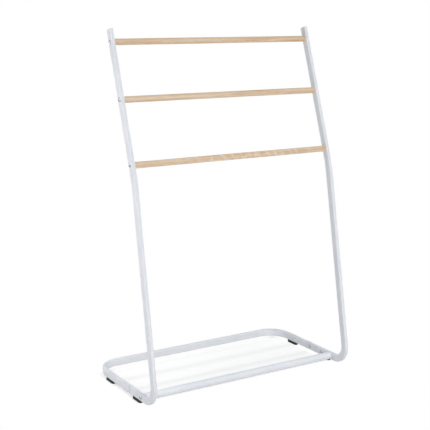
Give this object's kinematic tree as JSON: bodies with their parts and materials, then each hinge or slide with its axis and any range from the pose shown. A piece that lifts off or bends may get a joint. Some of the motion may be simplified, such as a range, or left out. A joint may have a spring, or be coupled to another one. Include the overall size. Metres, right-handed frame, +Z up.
{
  "type": "freestanding towel stand",
  "caption": "Freestanding towel stand: flat-tube uprights lean back from a rounded floor frame and carry round wooden rails, on rubber pads.",
  "frame": {"origin": "on the floor, under the middle of the stand's box", "axes": "+Z up; +Y to the rear, the way the uprights lean; X across the stand, along the rails"},
  "size_m": [0.606, 0.3399, 0.9197],
  "materials": {
    "white_powder_coat": "satin powder coat",
    "pale_wood": "matt clear lacquer over straight pale grain",
    "bolt_steel": "zinc plated",
    "inner_steel": "zinc plated",
    "white_plastic": "satin",
    "black_rubber": "matt"
  },
  "bodies": {
    "root": {"left_upright": "white_powder_coat", "right_upright": "white_powder_coat", "rear_hoop": "white_powder_coat", "front_crossbar": "white_powder_coat", "top_rail": "pale_wood", "middle_rail": "pale_wood", "lower_rail": "pale_wood", "left_rail_bolts": "bolt_steel", "right_rail_bolts": "bolt_steel", "crossbar_bolts": "bolt_steel", "left_joint_screws": "bolt_steel", "right_joint_screws": "bolt_steel", "left_crossbar_bush": "inner_steel", "right_crossbar_bush": "inner_steel", "top_rail_inserts": "inner_steel", "middle_rail_inserts": "inner_steel", "lower_rail_inserts": "inner_steel", "left_joint_bar": "inner_steel", "right_joint_bar": "inner_steel", "left_end_plug": "white_plastic", "right_end_plug": "white_plastic", "front_left_foot": "black_rubber", "front_right_foot": "black_rubber", "rear_left_foot": "black_rubber", "rear_right_foot": "black_rubber"}
  },
  "joints": []
}
